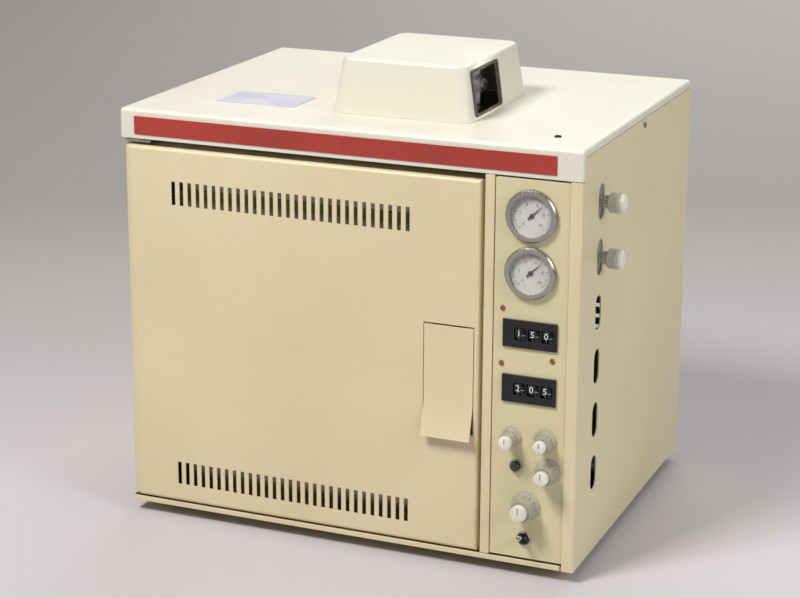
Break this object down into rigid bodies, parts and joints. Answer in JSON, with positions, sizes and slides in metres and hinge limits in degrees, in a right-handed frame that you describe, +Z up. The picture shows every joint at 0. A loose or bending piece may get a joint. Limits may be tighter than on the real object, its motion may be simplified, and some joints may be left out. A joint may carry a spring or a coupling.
{
  "type": "gas chromatograph",
  "caption": "Bench gas chromatograph: cream sheet-steel cabinet, hinged front oven door with air slots, panel with gauges, thumbwheels and knobs, raised cover over the ports.",
  "frame": {"origin": "Centre of the overall box at the level of the bench.", "axes": "+X to the right seen from the front, +Y to the rear, +Z up; the front door faces -Y."},
  "size_m": [0.4936, 0.401, 0.4701],
  "materials": {
    "cabinet_paint": "satin",
    "panel_paint": "satin",
    "trim_red": "satin",
    "foot_rubber": "matte",
    "zinc_steel": "satin",
    "stainless": "brushed",
    "mineral_wool": "matte",
    "gasket_braid": "matte",
    "aluminium": "satin",
    "heater_sheath": "satin",
    "column_steel": "polished",
    "nut_chrome": "polished",
    "dark_trim": "matte",
    "gauge_metal": "satin",
    "dial_face": "matte",
    "gauge_glass": "clear",
    "needle_black": "matte",
    "switch_black": "satin",
    "lamp_red": "gloss",
    "knob_grey": "satin",
    "button_dark": "satin",
    "lever_metal": "polished",
    "flow_knob_plastic": "satin",
    "brass": "satin",
    "copper_tube": "satin",
    "circuit_board": "satin"
  },
  "bodies": {
    "chassis": {"base_pan": "cabinet_paint", "rubber_feet": "foot_rubber", "left_side_panel": "cabinet_paint", "right_side_panel": "cabinet_paint", "rear_panel": "cabinet_paint", "top_cover": "cabinet_paint", "red_trim_strip": "trim_red", "front_frame": "cabinet_paint", "hinge_brackets": "zinc_steel", "oven_liner": "stainless", "oven_jacket": "mineral_wool", "fan_baffle": "stainless", "fan_motor": "aluminium", "heater_ring": "heater_sheath", "temperature_sensor": "stainless", "column_front": "column_steel", "column_rear": "column_steel", "injector_block": "aluminium", "septum_nuts": "nut_chrome", "detector_block": "aluminium", "port_cover": "cabinet_paint", "window_trim": "dark_trim", "cover_screws": "zinc_steel", "control_panel": "panel_paint", "gauge_cases": "gauge_metal", "gauge_dials": "dial_face", "gauge_lenses": "gauge_glass", "switch_housing_upper": "switch_black", "switch_housing_lower": "switch_black", "indicator_lamps": "lamp_red", "potentiometers": "zinc_steel", "toggle_switch": "switch_black", "flow_controllers": "aluminium", "gas_fittings": "brass", "gas_tubing": "copper_tube", "power_inlet": "switch_black", "control_board": "circuit_board"},
    "door": {"door_skin": "cabinet_paint", "door_inner_pan": "stainless", "door_insulation": "mineral_wool", "door_gasket": "gasket_braid", "latch_dish": "cabinet_paint"},
    "latch": {"latch_paddle": "cabinet_paint"},
    "oven_fan": {"fan_wheel": "aluminium"},
    "gauge_needle_upper": {"needle_upper": "needle_black"},
    "gauge_needle_lower": {"needle_lower": "needle_black"},
    "thumbwheel_upper_hundreds": {"digit_wheel_upper_hundreds": "switch_black"},
    "thumbwheel_upper_tens": {"digit_wheel_upper_tens": "switch_black"},
    "thumbwheel_upper_units": {"digit_wheel_upper_units": "switch_black"},
    "thumbwheel_lower_hundreds": {"digit_wheel_lower_hundreds": "switch_black"},
    "thumbwheel_lower_tens": {"digit_wheel_lower_tens": "switch_black"},
    "thumbwheel_lower_units": {"digit_wheel_lower_units": "switch_black"},
    "knob_upper_left_body": {"knob_upper_left": "knob_grey"},
    "knob_upper_right_body": {"knob_upper_right": "knob_grey"},
    "knob_middle_right_body": {"knob_middle_right": "knob_grey"},
    "knob_lower_body": {"knob_lower": "knob_grey"},
    "push_button_body": {"push_button": "button_dark"},
    "power_toggle_body": {"power_toggle": "lever_metal"},
    "flow_knob_upper_body": {"flow_knob_upper": "flow_knob_plastic"},
    "flow_knob_lower_body": {"flow_knob_lower": "flow_knob_plastic"}
  },
  "joints": [
    {"name": "door_hinge", "type": "hinge", "parent": "chassis", "child": "door", "pos_m": [-0.23755, -0.1665, 0.018], "axis": [0, 0, -1], "range_deg": [0, 110]},
    {"name": "latch_pivot", "type": "hinge", "parent": "door", "child": "latch", "pos_m": [0.09745, -0.1723, 0.2348], "axis": [-1, 0, 0], "range_deg": [0, 15], "stiffness_Nm_per_rad": 0.6},
    {"name": "fan_spin", "type": "hinge", "parent": "chassis", "child": "oven_fan", "pos_m": [-0.06355, 0.0205, 0.202], "axis": [0, 1, 0], "continuous": true},
    {"name": "needle_upper_sweep", "type": "hinge", "parent": "chassis", "child": "gauge_needle_upper", "pos_m": [0.17645, -0.1765, 0.3525], "axis": [0, 1, 0], "range_deg": [-180, 90], "stiffness_Nm_per_rad": 0.001},
    {"name": "needle_lower_sweep", "type": "hinge", "parent": "chassis", "child": "gauge_needle_lower", "pos_m": [0.17645, -0.1765, 0.299], "axis": [0, 1, 0], "range_deg": [-180, 90], "stiffness_Nm_per_rad": 0.001},
    {"name": "thumbwheel_upper_hundreds_turn", "type": "hinge", "parent": "chassis", "child": "thumbwheel_upper_hundreds", "pos_m": [0.16795, -0.1659, 0.24], "axis": [1, 0, 0], "continuous": true},
    {"name": "thumbwheel_upper_tens_turn", "type": "hinge", "parent": "chassis", "child": "thumbwheel_upper_tens", "pos_m": [0.18115, -0.1659, 0.24], "axis": [1, 0, 0], "continuous": true},
    {"name": "thumbwheel_upper_units_turn", "type": "hinge", "parent": "chassis", "child": "thumbwheel_upper_units", "pos_m": [0.19435, -0.1659, 0.24], "axis": [1, 0, 0], "continuous": true},
    {"name": "thumbwheel_lower_hundreds_turn", "type": "hinge", "parent": "chassis", "child": "thumbwheel_lower_hundreds", "pos_m": [0.16795, -0.1659, 0.1868], "axis": [1, 0, 0], "continuous": true},
    {"name": "thumbwheel_lower_tens_turn", "type": "hinge", "parent": "chassis", "child": "thumbwheel_lower_tens", "pos_m": [0.18115, -0.1659, 0.1868], "axis": [1, 0, 0], "continuous": true},
    {"name": "thumbwheel_lower_units_turn", "type": "hinge", "parent": "chassis", "child": "thumbwheel_lower_units", "pos_m": [0.19435, -0.1659, 0.1868], "axis": [1, 0, 0], "continuous": true},
    {"name": "knob_upper_left_turn", "type": "hinge", "parent": "chassis", "child": "knob_upper_left_body", "pos_m": [0.16105, -0.1765, 0.1385], "axis": [0, 1, 0], "range_deg": [-150, 150]},
    {"name": "knob_upper_right_turn", "type": "hinge", "parent": "chassis", "child": "knob_upper_right_body", "pos_m": [0.19445, -0.1765, 0.139], "axis": [0, 1, 0], "range_deg": [-150, 150]},
    {"name": "knob_middle_right_turn", "type": "hinge", "parent": "chassis", "child": "knob_middle_right_body", "pos_m": [0.19695, -0.1765, 0.109], "axis": [0, 1, 0], "range_deg": [-150, 150]},
    {"name": "knob_lower_turn", "type": "hinge", "parent": "chassis", "child": "knob_lower_body", "pos_m": [0.17645, -0.1765, 0.072], "axis": [0, 1, 0], "range_deg": [-150, 150]},
    {"name": "push_button_travel", "type": "slide", "parent": "chassis", "child": "push_button_body", "axis": [0, 1, 0], "range_m": [0, 0.0025], "stiffness_N_per_m": 300},
    {"name": "power_toggle_throw", "type": "hinge", "parent": "chassis", "child": "power_toggle_body", "pos_m": [0.17545, -0.1755, 0.0395], "axis": [1, 0, 0], "range_deg": [0, 36]},
    {"name": "flow_knob_upper_turn", "type": "hinge", "parent": "chassis", "child": "flow_knob_upper_body", "pos_m": [0.22445, -0.1215, 0.358], "axis": [1, 0, 0], "range_deg": [0, 1080]},
    {"name": "flow_knob_lower_turn", "type": "hinge", "parent": "chassis", "child": "flow_knob_lower_body", "pos_m": [0.22445, -0.1215, 0.305], "axis": [1, 0, 0], "range_deg": [0, 1080]}
  ]
}
